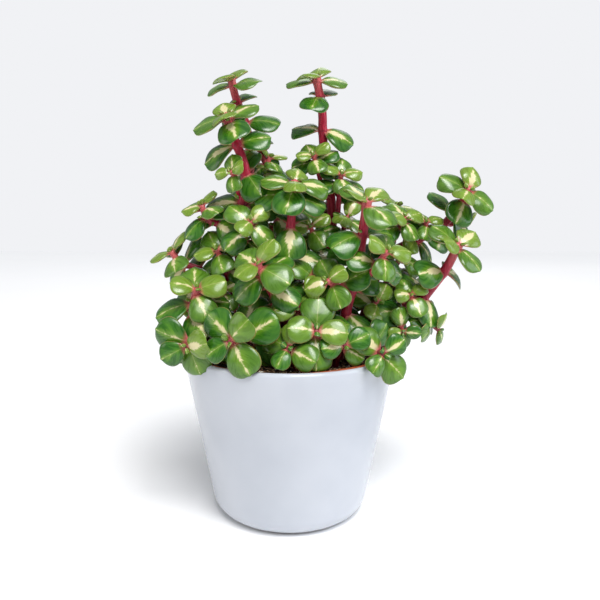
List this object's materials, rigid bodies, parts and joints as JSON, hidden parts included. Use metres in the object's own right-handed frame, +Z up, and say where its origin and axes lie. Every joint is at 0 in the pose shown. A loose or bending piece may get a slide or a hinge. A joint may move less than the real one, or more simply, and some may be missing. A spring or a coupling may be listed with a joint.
{
  "type": "potted elephant bush",
  "caption": "Bushy variegated elephant bush with red stems and small round striped succulent leaves, in a plain white tapered glazed pot with a plastic nursery pot inside",
  "frame": {"origin": "the centre of the cachepot's flat foot, on the ground", "axes": "+Z up, -Y the front of the plant, +X to the right seen from the front"},
  "size_m": [0.205, 0.1468, 0.2708],
  "materials": {
    "white_glaze": "gloss cool white glaze",
    "terracotta_plastic": "satin rust-red moulded polypropylene",
    "potting_mix": "damp crumbly peat with bark and grit",
    "red_stem": "smooth waxy crimson bark",
    "green_leaf": "glossy waxy succulent leaf, green edge and cream centre"
  },
  "bodies": {
    "root": {"cachepot": "white_glaze", "front_centre_stem": "red_stem", "front_left_back_shoot": "green_leaf", "front_left_shoot": "green_leaf", "front_left_stem": "red_stem", "front_low_left_shoot": "red_stem", "front_low_right_shoot": "red_stem", "front_low_shoot": "red_stem", "front_mid_shoot": "red_stem", "front_right_stem": "red_stem", "left_high_shoot": "green_leaf", "left_low_stem": "red_stem", "left_mid_shoot": "green_leaf", "left_reach_stem": "red_stem", "left_rim_shoot": "green_leaf", "low_front_left_shoot": "red_stem", "low_front_right_shoot": "red_stem", "low_front_shoot": "red_stem", "low_left_rear_shoot": "red_stem", "low_left_shoot": "red_stem", "low_right_rear_shoot": "red_stem", "low_right_shoot": "red_stem", "mid_centre_right_shoot": "green_leaf", "mid_centre_shoot": "green_leaf", "mid_front_right_shoot": "green_leaf", "mid_left_front_shoot": "green_leaf", "mid_left_shoot": "green_leaf", "mid_low_shoot": "green_leaf", "mid_rear_shoot": "green_leaf", "mid_right_shoot": "green_leaf", "mid_shoot": "green_leaf", "nursery_pot": "terracotta_plastic", "reach_shoot": "green_leaf", "reach_under_shoot": "green_leaf", "rear_left_low_stem": "red_stem", "rear_left_rim_shoot": "red_stem", "rear_left_shoot": "green_leaf", "rear_left_stem": "red_stem", "rear_low_shoot": "red_stem", "rear_mid_stem": "red_stem", "rear_right_low_shoot": "green_leaf", "rear_right_low_stem": "red_stem", "rear_right_rim_shoot": "red_stem", "rear_right_shoot": "green_leaf", "rear_right_stem": "red_stem", "rear_upper_shoot": "green_leaf", "right_hang_shoot": "green_leaf", "right_low_shoot": "green_leaf", "right_low_stem": "red_stem", "right_mid_shoot": "green_leaf", "right_reach_stem": "red_stem", "right_under_shoot": "green_leaf", "soil": "potting_mix", "tall_centre_stem": "red_stem", "tall_left_shoot": "green_leaf", "tall_right_shoot": "green_leaf", "upper_left_shoot": "green_leaf"}
  },
  "joints": []
}
